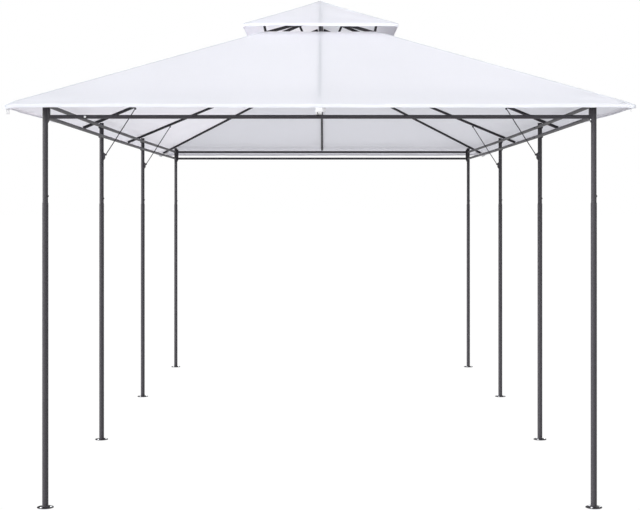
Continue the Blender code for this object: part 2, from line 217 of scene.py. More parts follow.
class GazeboFinish(bpy.types.PropertyGroup):
    """Colours of the gazebo."""

    frame_colour: FloatVectorProperty(
        name="Frame Colour", description="Anthracite of the powder coat",
        default=(0.029, 0.027, 0.032), subtype="COLOR", min=0.0, max=1.0)
    cloth_colour: FloatVectorProperty(
        name="Cloth Colour", description="White of the roof cloth",
        default=(0.772, 0.806, 0.860), subtype="COLOR", min=0.0, max=1.0)
    through_colour: FloatVectorProperty(
        name="Light Through", description="Colour of the light that comes through the roof cloth",
        default=(0.93, 0.885, 0.90), subtype="COLOR", min=0.0, max=1.0)
    cloth_clearness: FloatProperty(
        name="Cloth Clearness", description="Share of light that goes into the cloth and through it",
        default=0.42, min=0.0, max=1.0)
    # Painted shade: the hem's copy of the cloth colour is darkened by this share, so the hem looks darker
    # than the roof
    hem_painted_shade: FloatProperty(
        name="Hem Painted Shade", description="Lightness of the doubled hem next to the single cloth",
        default=0.88, min=0.0)
    # Painted light: the top cloth's copy of the cloth colour is lightened by this share, so the top tier
    # looks lighter
    top_painted_light: FloatProperty(
        name="Top Painted Light", description="Lightness of the thinner top cloth next to the main one",
        default=1.03, min=0.0)
    top_clearness: FloatProperty(
        name="Top Clearness", description="Share of light that goes into and through the thinner top cloth",
        default=0.47, min=0.0, max=1.0)
    seam_colour: FloatVectorProperty(
        name="Seam Colour", description="White of the lapped seams, where the cloth lies double",
        default=(0.658, 0.681, 0.730), subtype="COLOR", min=0.0, max=1.0)
    seam_clearness: FloatProperty(
        name="Seam Clearness", description="Share of light that goes into the double cloth of a seam",
        default=0.12, min=0.0, max=1.0)
    tape_colour: FloatVectorProperty(
        name="Tape Colour", description="White of the vent's binding, the pockets and the centre tie",
        default=(0.90, 0.90, 0.91), subtype="COLOR", min=0.0, max=1.0)
    # Painted shade: the loops and the centre tab are grey to give the shade they hang in
    loop_shade_colour: FloatVectorProperty(
        name="Loop Shade Colour", description="Grey of the loops at the roof corners and of the centre tab",
        default=(0.52, 0.52, 0.535), subtype="COLOR", min=0.0, max=1.0)
    zinc_colour: FloatVectorProperty(
        name="Zinc Colour", description="Colour of the plated bolts",
        default=(0.66, 0.67, 0.69), subtype="COLOR", min=0.0, max=1.0)


class Shell:
    """Points and faces gathered into one mesh."""

    def __init__(self):
        self.points = []
        self.faces = []

    def add(self, points, faces):
        """Add points and the faces between them."""
        first = len(self.points)
        self.points.extend(points)
        self.faces.extend(tuple(first + i for i in face) for face in faces)

    def grid(self, rows, caps=True):
        """Add quads between closed rows of equally many points."""
        count = len(rows[0])
        faces = []
        for i in range(len(rows) - 1):
            for j in range(count):
                k = (j + 1) % count
                faces.append((i * count + j, i * count + k, (i + 1) * count + k, (i + 1) * count + j))
        if caps:
            last = (len(rows) - 1) * count
            faces.append(tuple(reversed(range(count))))
            faces.append(tuple(range(last, last + count)))
        self.add([point for row in rows for point in row], faces)

    def piece(self, name, kind):
        """Make the object in one finish, smooth but for its sharp edges, on the gazebo's body."""
        mesh = bpy.data.meshes.new(name)
        mesh.from_pydata([tuple(point) for point in self.points], [], self.faces)
        work = bmesh.new()
        work.from_mesh(mesh)
        bmesh.ops.recalc_face_normals(work, faces=work.faces)
        work.to_mesh(mesh)
        work.free()
        mesh.shade_smooth()
        mesh.set_sharp_from_angle(angle=SHARP_ANGLE)
        mesh.materials.append(finish_of(kind))
        piece = bpy.data.objects.new(name, mesh)
        bpy.context.scene.collection.objects.link(piece)
        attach(piece, BODY)
        return piece


def circle(middle, side, other, radius, steps):
    """Points round a circle."""
    angles = [2 * math.pi * i / steps for i in range(steps)]
    return [middle + (side * math.cos(a) + other * math.sin(a)) * radius for a in angles]


def turned(shell, outline, base, axis, steps):
    """Add a solid of revolution from (radius, height) points along an axis."""
    axis = Vector(axis).normalized()
    side = axis.orthogonal().normalized()
    other = axis.cross(side)
    base = Vector(base)
    shell.grid([circle(base + axis * height, side, other, radius, steps) for radius, height in outline])


def rod(shell, path, radius, steps):
    """Add a round rod along a path."""
    rows = []
    for i, place in enumerate(path):
        run = (path[min(i + 1, len(path) - 1)] - path[max(i - 1, 0)]).normalized()
        side = run.cross(Vector((0.31, 0.17, 0.93))).normalized()
        rows.append(circle(place, side, run.cross(side), radius, steps))
    shell.grid(rows)


def webbing(shell, path, across, width, thickness):
    """Add a flat strap along a path, its width along one direction."""
    across = Vector(across).normalized()
    rows = []
    for i, place in enumerate(path):
        run = path[min(i + 1, len(path) - 1)] - path[max(i - 1, 0)]
        face = run.cross(across).normalized() * (thickness / 2)
        edge = across * (width / 2)
        inner_edge = edge * 0.94
        rows.append([place - edge, place - inner_edge - face, place + inner_edge - face,
                     place + edge, place + inner_edge + face, place - inner_edge + face])
    shell.grid(rows)


def curved(points, steps):
    """Smooth path through points, as a list of places."""
    points = [Vector(point) for point in points]
    padded = [points[0] * 2 - points[1], *points, points[-1] * 2 - points[-2]]
    path = []
    for a, b, c, d in zip(padded, padded[1:], padded[2:], padded[3:]):
        for i in range(steps):
            t = i / steps
            path.append(0.5 * (2 * b + (c - a) * t + (2 * a - 5 * b + 4 * c - d) * t ** 2
                               + (3 * b - a - 3 * c + d) * t ** 3))
    return path + [points[-1]]


# Materials

class Nodes:
    """Short hand for wiring a node tree."""

    def __init__(self, tree):
        self.tree = tree
        tree.nodes.clear()

    def add(self, kind, settings=None, **inputs):
        """Add a shader node, set its options and set or wire its inputs."""
        node = self.tree.nodes.new(f"ShaderNode{kind}")
        for name, value in (settings or {}).items():
            setattr(node, name, value)
        for name, value in inputs.items():
            socket = node.inputs[int(name[1:]) if name[1:].isdigit() else name.replace("_", " ")]
            if isinstance(value, bpy.types.NodeSocket):
                self.tree.links.new(value, socket)
            else:
                socket.default_value = value
        return node

    def math(self, operation, first, second=0.0):
        """Result of one math operation."""
        return self.add("Math", {"operation": operation}, i0=first, i1=second).outputs[0]

    def noise(self, vector, scale, detail, roughness=0.5):
        """Value of a noise pattern."""
        node = self.add("TexNoise", Vector=vector, Scale=scale, Detail=detail, Roughness=roughness)
        return node.outputs["Fac"]

    def spread(self, value, low, high, to_low, to_high):
        """Value mapped from one range to another."""
        node = self.add("MapRange", Value=value, i1=low, i2=high, i3=to_low, i4=to_high)
        return node.outputs[0]

    def mottle(self, pattern, low, high, colour, dark, light):
        """Colour that a pattern makes a little darker and lighter."""
        share = self.spread(pattern, low, high, 0.0, 1.0)
        node = self.add("Mix", {"data_type": "RGBA"}, i0=share, i6=tint(colour, dark), i7=tint(colour, light))
        return node.outputs[2]

    def bump(self, height, strength, distance):
        """Normal of a surface with small heights on it."""
        node = self.add("Bump", Strength=strength, Distance=distance, Height=height)
        return node.outputs[0]

    def principled(self, colour, roughness, **inputs):
        """Surface of one colour pattern and roughness."""
        node = self.add("BsdfPrincipled", Base_Color=colour, Roughness=roughness, **inputs)
        return node.outputs[0]

    def mix(self, share, first, second):
        """Two shaders mixed."""
        return self.add("MixShader", i0=share, i1=first, i2=second).outputs[0]


def new_material(name):
    """New material and the wiring of its nodes."""
    material = bpy.data.materials.new(name)
    material.use_nodes = True
    return material, Nodes(material.node_tree)


def tint(colour, factor):
    """Colour made lighter or darker, with full alpha."""
    return (*(min(channel * factor, 1.0) for channel in colour), 1.0)


def powder_coat(name, colour):
    """Satin powder coat with its fine orange peel and faint handling marks."""
    material, nodes = new_material(name)
    place = nodes.add("TexCoord").outputs["Object"]
    base = nodes.mottle(nodes.noise(place, 7.0, 3.0), 0.3, 0.7, colour, 0.97, 1.03)
    roughness = nodes.spread(nodes.noise(place, 38.0, 4.0, 0.6), 0.3, 0.75, 0.47, 0.53)
    peel = nodes.bump(nodes.noise(place, 1400.0, 1.0), 0.12, 0.00003)
    surface = nodes.principled(base, roughness, Normal=peel, Specular_IOR_Level=0.24)
    nodes.add("OutputMaterial", Surface=surface)
    return material


def plated_steel(name, colour):
    """Bright zinc plate with a fine grain."""
    material, nodes = new_material(name)
    spangle = nodes.noise(nodes.add("TexCoord").outputs["Object"], 420.0, 2.0)
    base = nodes.mottle(spangle, 0.35, 0.65, colour, 0.88, 1.08)
    roughness = nodes.spread(spangle, 0.3, 0.7, 0.26, 0.40)
    nodes.add("OutputMaterial", Surface=nodes.principled(base, roughness, Metallic=1.0))
    return material


def woven_cloth(name, colour, clearness):
    """Matt woven polyester that lets some light through, its threads laid by the UV map in metres."""
    material, nodes = new_material(name)
    flat = nodes.add("UVMap", {"uv_map": "cut"}).outputs[0]
    parts = nodes.add("SeparateXYZ", Vector=flat)
    turn = 2 * math.pi / 0.0016
    warp, weft = [nodes.math("SINE", nodes.math("MULTIPLY", parts.outputs[i], turn)) for i in (0, 1)]
    weave = nodes.math("MULTIPLY", warp, weft)
    thick_threads = []
    for scale in ((260.0, 5.0, 1.0), (5.0, 260.0, 1.0)):
        stretched = nodes.add("Mapping", Vector=flat, Scale=scale).outputs[0]
        thick_threads.append(nodes.noise(stretched, 1.0, 2.0))
    slubs = nodes.math("ADD", *thick_threads)
    broad = nodes.noise(flat, 2.6, 3.0)
    shade = nodes.math("ADD", nodes.math("MULTIPLY", slubs, 0.35), nodes.math("MULTIPLY", broad, 0.30))
    base = nodes.mottle(shade, 0.38, 0.62, colour, 0.985, 1.015)
    height = nodes.math("ADD", weave, nodes.math("MULTIPLY", slubs, 1.2))
    threads = nodes.bump(height, 0.22, 0.00012)
    surface = nodes.principled(base, 0.86, Normal=threads, Specular_IOR_Level=0.25, Sheen_Weight=0.08)
    glow = tint(bpy.context.scene.gazebo_finish.through_colour, 1.0)
    through = nodes.add("BsdfTranslucent", Color=glow, Normal=threads).outputs[0]
    nodes.add("OutputMaterial", Surface=nodes.mix(clearness, surface, through))
    return material


def thread(name, colour):
    """Twisted sewing thread and strap webbing, a little glossier than the cloth."""
    material, nodes = new_material(name)
    ribs = nodes.noise(nodes.add("TexCoord").outputs["Object"], 900.0, 2.0)
    base = nodes.mottle(ribs, 0.3, 0.7, colour, 0.90, 1.04)
    surface = nodes.principled(base, 0.62, Normal=nodes.bump(ribs, 0.4, 0.0002), Sheen_Weight=0.2)
    nodes.add("OutputMaterial", Surface=surface)
    return material


def finish_of(kind):
    """Material of one kind, made once."""
    found = bpy.data.materials.get(kind)
    if found:
        return found
    finish = bpy.context.scene.gazebo_finish
    # The hem's copy of the cloth colour is darkened: a painted shade
    hem_shaded_colour = [channel * finish.hem_painted_shade for channel in finish.cloth_colour]
    # The top cloth's copy of the cloth colour is lightened: a painted light
    top_lit_colour = [channel * finish.top_painted_light for channel in finish.cloth_colour]
    recipes = {
        "frame_powder_coat": (powder_coat, finish.frame_colour),
        "zinc_plate": (plated_steel, finish.zinc_colour),
        "roof_weave": (woven_cloth, finish.cloth_colour, finish.cloth_clearness),
        "hem_weave": (woven_cloth, hem_shaded_colour, finish.cloth_clearness),
        "thin_weave": (woven_cloth, top_lit_colour, finish.top_clearness),
        "lapped_weave": (woven_cloth, finish.seam_colour, finish.seam_clearness),
        "white_thread": (thread, finish.cloth_colour),
        "white_tape": (thread, finish.tape_colour),
        "grey_webbing": (thread, finish.loop_shade_colour),
    }
    make, *values = recipes[kind]
    return make(kind, *values)


# Shape of the roof

class Tier:
    """One of the two cloths of the roof."""

    def __init__(self, node, inner_x, edge_x, rafter_end_x, rise, hem_z, slope_steps):
        canopy = bpy.context.scene.gazebo_canopy
        self.node = node
        self.inner_x = inner_x
        self.edge_x = edge_x
        self.rise = rise + RAFTER_RADIUS * SLOPE + 0.0004
        self.slope_steps = slope_steps
        self.hem_depth = HIP_APEX_Z - PITCH * edge_x + self.rise - hem_z
        self.droop_reach = (edge_x - rafter_end_x) * HIP_SLANT
        self.peak = canopy.ridge_peak if inner_x == 0.0 else 0.0
        self.sag_rate = canopy.sag / (2 * MIDDLE_Y) ** 2
        self.canopy = canopy

    def height(self, x, y):
        """Height of the cloth's underside over a place in the plan."""
        ring = max(abs(x), (abs(y) - RIDGE_HALF_LENGTH) / HIP_RUN)
        taut = HIP_APEX_Z - PITCH * ring + self.rise
        corner_y = RIDGE_HALF_LENGTH + HIP_RUN * ring
        if abs(x) < ring - 1e-9:
            span = ring
            share = abs(x) / ring
        elif abs(y) <= MIDDLE_Y:
            span = 2 * MIDDLE_Y
            share = (y + MIDDLE_Y) / span
            taut += SIDE_LIFT
        else:
            span = corner_y - MIDDLE_Y
            share = (corner_y - abs(y)) / span
            taut += SIDE_LIFT * share
        free = 4 * share * (1 - share)
        up_slope = min(max((ring - self.inner_x) / (self.edge_x - self.inner_x), 0.0), 1.0)
        belly = 0.06 + 0.94 * math.sin(math.pi * up_slope)
        hang = self.sag_rate * span ** 2 * free * belly
        peak = self.peak * math.exp(-math.hypot(x, abs(y) - RIDGE_HALF_LENGTH) / 0.20)
        return taut - hang + peak + self.ripples(x, y, ring, free) - self.droop(x, y)

    def ripples(self, x, y, ring, free):
        """Small unevenness of the cloth, none where it lies on a rafter."""
        broad = noise.noise(Vector((x * 2.6, y * 2.6, 3.1 + self.rise))) * self.canopy.ripple
        fine = noise.noise(Vector((x * 9.0, y * 9.0, 7.7 + self.rise))) * self.canopy.ripple * 0.22
        in_from_edge = self.edge_x - ring
        run = y if abs(x) >= ring - 1e-9 else x
        puckers = noise.noise(Vector((run * 21.0, ring * 3.0, 1.3))) + 0.5 * noise.noise(
            Vector((run * 47.0, ring * 6.0, 5.2)))
        puckers *= self.canopy.pucker * math.exp(-in_from_edge / 0.045)
        corner = Vector((self.edge_x - abs(x), RIDGE_HALF_LENGTH + HIP_RUN * self.edge_x - abs(y)))
        reach = corner.length
        fold = 0.0
        if reach > 1e-6:
            turn = math.atan2(corner.y, corner.x)
            phase = 1.7 if x * y > 0 else 0.4
            fold = math.sin(turn * 15.0 + phase + 1.4 * noise.noise(Vector((x * 3.0, y * 3.0, 9.4))))
            fold *= self.canopy.corner_fold * math.exp(-reach / 0.40) * min(reach / 0.12, 1.0)
        lift = max(free, 0.0) ** 0.5
        return (broad + fine + fold) * lift + puckers * min(free * 8.0, 1.0)

    def droop(self, x, y):
        """How far a corner hangs down past its rafter's end."""
        corner_y = RIDGE_HALF_LENGTH + HIP_RUN * self.edge_x
        reach = math.hypot(self.edge_x - abs(x), corner_y - abs(y))
        past = max(1.0 - reach / self.droop_reach, 0.0)
        slack = 0.4 if x > 0 else 1.0
        return self.canopy.corner_droop * slack * past ** 1.5

    def outside(self, x, y, lift):
        """Point a little above the outside of the cloth."""
        return Vector((x, y, self.height(x, y) + self.canopy.thickness * SLOPE + lift))

    def normal(self, x, y):
        """Upward direction square to the cloth."""
        step = 0.002
        slope_x = (self.height(x + step, y) - self.height(x - step, y)) / (2 * step)
        slope_y = (self.height(x, y + step) - self.height(x, y - step)) / (2 * step)
        return Vector((-slope_x, -slope_y, 1.0)).normalized()


def main_tier():
    """The main roof cloth."""
    steps = bpy.context.scene.gazebo_canopy.slope_steps
    return Tier("main_roof_cloth", VENT_X - VENT_OVERLAP, MAIN_EAVE_X - EAVE_INSET, HIP_OUT.x, 0.0,
                MAIN_HEM_Z + MAIN_HEM_LIFT, steps)


def top_tier():
    """The small cloth over the vent."""
    steps = bpy.context.scene.gazebo_canopy.slope_steps // 2
    return Tier("top_roof_cloth", 0.0, TOP_EAVE_X - EAVE_INSET, TOP_HIP_END_X, VENT_RISE,
                TOP_HEM_Z - TOP_HEM_DROP, steps)


def eased(share):
    """Even share moved so that steps are finer at both ends."""
    return share - STEP_PULL * math.sin(2 * math.pi * share) / (2 * math.pi)


def ring_plan(ring):
    """Plan places round the roof at one distance from the ridge, clockwise from above.

    Each comes with the panel it starts: 0 right, 1 front, 2 left and 3 back.
    """
    steps = bpy.context.scene.gazebo_canopy.bay_steps
    corner_y = RIDGE_HALF_LENGTH + HIP_RUN * ring
    side_stops = [(corner_y, MIDDLE_Y, steps), (MIDDLE_Y, -MIDDLE_Y, steps), (-MIDDLE_Y, -corner_y, steps)]
    side = [low + (high - low) * eased(i / count) for low, high, count in side_stops for i in range(count)]
    end_stops = [(ring, 0.0, steps * 3 // 4), (0.0, -ring, steps * 3 // 4)]
    across = [low + (high - low) * eased(i / count) for low, high, count in end_stops for i in range(count)]
    plan = [(ring, y, 0) for y in side]
    plan += [(x, -corner_y, 1) for x in across]
    plan += [(-ring, -y, 2) for y in side]
    plan += [(-x, corner_y, 3) for x in across]
    return plan


def outward(panel):
    """Plan direction that a panel faces."""
    return Vector(((1, 0), (0, -1), (-1, 0), (0, 1))[panel])


def hem_profile(depth):
    """Outward and downward offsets of the hem, from the fold at the eave to its rolled lower edge."""
    return [(0.0007, 0.0010), (0.0011, 0.0035), (0.0011, depth * 0.55), (0.0012, depth - 0.0060),
            (0.0013, depth - 0.0020), (0.0008, depth - 0.0005), (-0.0003, depth), (-0.0014, depth - 0.0008),
            (-0.0018, depth - 0.0024), (-0.0017, depth - 0.0052)]


def canopy_rows(tier):
    """Rows of points of a cloth from its inner ring to the inside of its hem, with UV places."""
    rows = []
    slope_steps = tier.slope_steps
    for i in range(slope_steps + 1):
        ring = tier.inner_x + (tier.edge_x - tier.inner_x) * eased(i / slope_steps)
        row = []
        for x, y, panel in ring_plan(ring):
            slope = ring * SLOPE
            run = y if panel in (0, 2) else x
            row.append((Vector((x, y, tier.height(x, y))), (run, slope), panel))
        rows.append(row)
    slope = tier.edge_x * SLOPE
    edge = rows[-1]
    for out, down in hem_profile(tier.hem_depth):
        row = []
        for i, (place, uv, panel) in enumerate(edge):
            facing = outward(panel)
            before = edge[i - 1][2]
            if before != panel:
                facing = facing + outward(before)
            wave = noise.noise(Vector((uv[0] * 12.0, panel * 3.3, 4.4)))
            swing = tier.canopy.pucker * 1.6 * wave * down / tier.hem_depth
            offset = facing * (out + swing)
            drop = down + tier.canopy.pucker * 0.7 * wave * min(down / tier.hem_depth, 1.0)
            row.append((place + Vector((offset.x, offset.y, -drop)), (uv[0], slope + down - out), panel))
        rows.append(row)
    return rows


def build_canopy(tier, name, weave, hem_weave):
    """Cloth of one tier with its sag, folds and hem, its threads laid along each panel."""
    rows = canopy_rows(tier)
    work = bmesh.new()
    cut = work.loops.layers.uv.new("cut")
    verts = [[work.verts.new(place) for place, _, _ in row] for row in rows]
    for i in range(len(rows) - 1):
        count = len(rows[i])
        for j in range(count):
            k = (j + 1) % count
            face = work.faces.new((verts[i][j], verts[i][k], verts[i + 1][k], verts[i + 1][j]))
            face.smooth = True
            # Hem faces take the darkened copy of the cloth, a painted shade
            face.material_index = int(i >= tier.slope_steps)
            panel = rows[i][j][2]
            for loop, (row, column) in zip(face.loops, ((i, j), (i, k), (i + 1, k), (i + 1, j))):
                place, (run, slope), owner = rows[row][column]
                if owner != panel:
                    run = place.y if panel in (0, 2) else place.x
                loop[cut].uv = (run + panel * 10.0, slope)
    bmesh.ops.remove_doubles(work, verts=work.verts, dist=0.00002)
    bmesh.ops.dissolve_degenerate(work, edges=work.edges, dist=0.00002)
    mesh = bpy.data.meshes.new(name)
    work.to_mesh(mesh)
    work.free()
    mesh.materials.append(weave)
    mesh.materials.append(hem_weave)
    piece = bpy.data.objects.new(name, mesh)
    bpy.context.scene.collection.objects.link(piece)
    shell = piece.modifiers.new("Thickness", "SOLIDIFY")
    shell.thickness = tier.canopy.thickness
    shell.offset = 1.0
    shell.use_even_offset = True
    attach(piece, BODY)
    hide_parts(tier.node)
    return piece


def stitch_line(shell, places, normals, pitch):
    """Add stitches at an even pitch along a line on the cloth."""
    length, width, height = pitch * 0.72, 0.0008, 0.00045
    carried = pitch / 2
    for a, b, normal in zip(places, places[1:], normals):
        run = b - a
        distance = run.length
        if distance < 1e-7:
            continue
        run.normalize()
        side = run.cross(normal).normalized() * (width / 2)
        up = normal * height
        while carried < distance:
            middle = a + run * carried
            tip = run * (length / 2)
            shell.add([middle - tip, middle + side, middle + tip, middle - side, middle + up,
                       middle - up * 0.4], STITCH_FACES)
            carried += pitch
        carried -= distance


def lapped_seam(seams, stitches, tier, start, finish):
    """Add a lapped seam between two places in the plan, with its two rows of stitches."""
    start, finish = Vector(start), Vector(finish)
    run = (finish - start).normalized()
    across = Vector((run.y, -run.x))
    half = tier.canopy.seam_width / 2
    lap = 0.0003
    profile = [(-1.0, 0.0), (-0.95, lap), (-0.5, lap), (0.0, lap), (0.5, lap), (0.95, lap), (1.0, 0.0),
               (0.5, -lap), (0.0, -lap), (-0.5, -lap)]
    count = max(round((finish - start).length / 0.0125), 2)
    line = [start + (finish - start) * (i / count) for i in range(count + 1)]
    seams.grid([[tier.outside(*(place + across * (half * share)), lift) for share, lift in profile]
                for place in line])
    for offset in (-0.72, 0.72):
        spots = [place + across * (half * offset) for place in line]
        places = [tier.outside(*spot, lap) for spot in spots]
        normals = [tier.normal(*spot) for spot in spots]
        stitch_line(stitches, places, normals, tier.canopy.stitch_pitch)


def hip_seams(seams, stitches, tier, inner_x):
    """Add the seams on the four hips, from near the ridge to the eave."""
    for x_sign, y_sign in CORNERS:
        lapped_seam(seams, stitches, tier, hip_place(inner_x, x_sign, y_sign),
                    hip_place(tier.edge_x - SEAM_INSET, x_sign, y_sign))


def hip_place(x, x_sign, y_sign):
    """Plan place on a hip at a distance from the ridge."""
    return (x_sign * x, y_sign * (RIDGE_HALF_LENGTH + HIP_RUN * x))


def hem_stitches(stitches, tier, share):
    """Add the row of stitches that holds the turned hem, part of the way down it."""
    places, normals = [], []
    for x, y, panel in ring_plan(tier.edge_x):
        facing = outward(panel).to_3d()
        places.append(Vector((x, y, tier.height(x, y) - tier.hem_depth * share)) + facing * HEM_FACE)
        normals.append(facing)
    stitch_line(stitches, places + places[:1], normals, tier.canopy.stitch_pitch)


def ring_line(tier, ring, lift):
    """Closed line round the outside of a cloth at one distance from the ridge."""
    line = [tier.outside(x, y, lift) for x, y, _ in ring_plan(ring)]
    return line + line[:1]


def vent_binding(binding, stitches, tier):
    """Add the binding round the vent opening of the main cloth."""
    width = 0.008
    lap = 0.0004
    profile = [(-0.0006, -0.0016), (-0.0009, -0.0004), (-0.0004, lap), (width - 0.0010, lap),
               (width, 0.0), (width - 0.0020, -0.0003), (0.0010, -0.0018)]
    lines = [ring_line(tier, tier.inner_x + inward, lift) for inward, lift in profile]
    binding.grid(list(zip(*lines)), caps=False)
    ring = tier.inner_x + width * 0.7
    normals = [tier.normal(x, y) for x, y, _ in ring_plan(ring)]
    stitch_line(stitches, ring_line(tier, ring, lap), normals, tier.canopy.stitch_pitch)


# Operators

class GAZEBO_OT_stage(bpy.types.Operator):
    """Set up the pale floor, the soft light and the camera."""

    bl_idname = "gazebo.stage"
    bl_label = "Studio"

    def execute(self, context):
        settings = context.scene.gazebo_stage
        self.make_camera(context, settings)
        self.make_floor(context, settings)
        self.make_lights(context, settings)
        context.scene.view_settings.view_transform = "Standard"
        return {"FINISHED"}

    def make_camera(self, context, settings):
        """Camera at the photograph's viewing angle, level and looking along the ridge."""
        lens = bpy.data.cameras.new("camera")
        lens.lens = settings.camera_lens
        lens.sensor_width = 36.0
        lens.shift_x, lens.shift_y = settings.camera_shift
        lens.clip_end = 2 * FLOOR_RADIUS
        camera = bpy.data.objects.new("camera", lens)
        camera.location = settings.camera_place
        camera.rotation_euler = (math.radians(90.0), 0.0, 0.0)
        context.scene.collection.objects.link(camera)
        context.scene.camera = camera

    def make_floor(self, context, settings):
        """Wide round floor that glows a little and takes faint shadows."""
        mesh = bpy.data.meshes.new("studio_floor")
        work = bmesh.new()
        bmesh.ops.create_circle(work, cap_ends=True, segments=96, radius=FLOOR_RADIUS)
        work.to_mesh(mesh)
        work.free()
        floor = bpy.data.objects.new("studio_floor", mesh)
        floor.location.z = -0.0004
        context.scene.collection.objects.link(floor)
        material, nodes = new_material("pale_floor")
        camera_ray = nodes.add("LightPath").outputs["Is Camera Ray"]
        strength = nodes.spread(camera_ray, 0.0, 1.0, settings.floor_light, settings.floor_white)
        glow = nodes.add("Emission", Color=(1.0, 1.0, 1.0, 1.0), Strength=strength)
        albedo = settings.floor_albedo
        matt = nodes.add("BsdfDiffuse", Color=(albedo, albedo, albedo, 1.0))
        both = nodes.add("AddShader", i0=glow.outputs[0], i1=matt.outputs[0]).outputs[0]
        clear = nodes.add("BsdfTransparent").outputs[0]
        back = nodes.add("NewGeometry").outputs["Backfacing"]
        nodes.add("OutputMaterial", Surface=nodes.mix(back, both, clear))
        mesh.materials.append(material)

    def make_lights(self, context, settings):
        """Wide soft lights round the gazebo, in front of a background that the camera sees as white."""
        directions = ((0.00, -1.00, 0.09), (-0.70, -0.70, 0.09), (-1.00, 0.00, 0.09), (-0.70, 0.70, 0.09),
                      (0.70, 0.70, 0.09), (0.70, -0.70, 0.09), (0.70, 0.00, 0.70))
        world = bpy.data.worlds.new("studio")
        world.use_nodes = True
        nodes = Nodes(world.node_tree)
        direction = nodes.add("TexCoord").outputs["Generated"]
        strength = 0.0
        for toward, power in zip(directions, (*settings.low_lights, settings.high_light)):
            toward = Vector(toward).normalized()
            facing = nodes.add("VectorMath", {"operation": "DOT_PRODUCT"}, i0=direction, i1=toward).outputs[1]
            falloff = nodes.math("POWER", nodes.math("MAXIMUM", facing), settings.light_focus)
            strength = nodes.math("ADD", nodes.math("MULTIPLY", falloff, power), strength)
        glow = nodes.add("Background", Strength=strength).outputs[0]
        white = nodes.add("Background", Color=(1.0, 1.0, 1.0, 1.0), Strength=1.0).outputs[0]
        seen = nodes.add("LightPath").outputs["Is Camera Ray"]
        nodes.add("OutputWorld", Surface=nodes.mix(seen, glow, white))
        context.scene.world = world


class GAZEBO_OT_frame_finish(bpy.types.Operator):
    """Powder-coat the posts, beams, rafters, ridges and braces."""

    bl_idname = "gazebo.frame_finish"
    bl_label = "Frame Finish"

    def execute(self, context):
        coat = finish_of("frame_powder_coat")
        for name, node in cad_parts.items():
            if name in CLOTH_NODES:
                continue
            node.data.materials.clear()
            node.data.materials.append(coat)
            node.data.shade_smooth()
            weld = node.modifiers.new("Weld", "WELD")
            weld.merge_threshold = 0.00001
            split = node.modifiers.new("Sharp edges", "EDGE_SPLIT")
            split.split_angle = math.radians(35.0)
        return {"FINISHED"}


class GAZEBO_OT_main_canopy(bpy.types.Operator):
    """Hang the main roof cloth and sew its seams."""

    bl_idname = "gazebo.main_canopy"
    bl_label = "Main Canopy"

    def execute(self, context):
        tier = main_tier()
        cloth = build_canopy(tier, "main_canopy", finish_of("roof_weave"), finish_of("hem_weave"))
        seams, stitches, binding = Shell(), Shell(), Shell()
        hip_seams(seams, stitches, tier, tier.inner_x)
        for x_sign, y_sign in CORNERS:
            lapped_seam(seams, stitches, tier, (x_sign * tier.inner_x, y_sign * MIDDLE_Y),
                        (x_sign * (tier.edge_x - SEAM_INSET), y_sign * MIDDLE_Y))
        vent_binding(binding, stitches, tier)
        hem_stitches(stitches, tier, 0.22)
        edging = binding.piece("vent_binding", "white_tape")
        strips = seams.piece("main_canopy_seams", "lapped_weave")
        sewing = stitches.piece("main_canopy_stitches", "white_thread")
        return {"FINISHED"}


class GAZEBO_OT_top_canopy(bpy.types.Operator):
    """Hang the small cloth over the vent and sew its seams."""

    bl_idname = "gazebo.top_canopy"
    bl_label = "Top Canopy"

    def execute(self, context):
        tier = top_tier()
        cloth = build_canopy(tier, "top_canopy", finish_of("thin_weave"), finish_of("thin_weave"))
        seams, stitches = Shell(), Shell()
        hip_seams(seams, stitches, tier, 0.010)
        lapped_seam(seams, stitches, tier, (0.0, -RIDGE_HALF_LENGTH), (0.0, RIDGE_HALF_LENGTH))
        hem_stitches(stitches, tier, 0.25)
        strips = seams.piece("top_canopy_seams", "lapped_weave")
        sewing = stitches.piece("top_canopy_stitches", "white_thread")
        return {"FINISHED"}


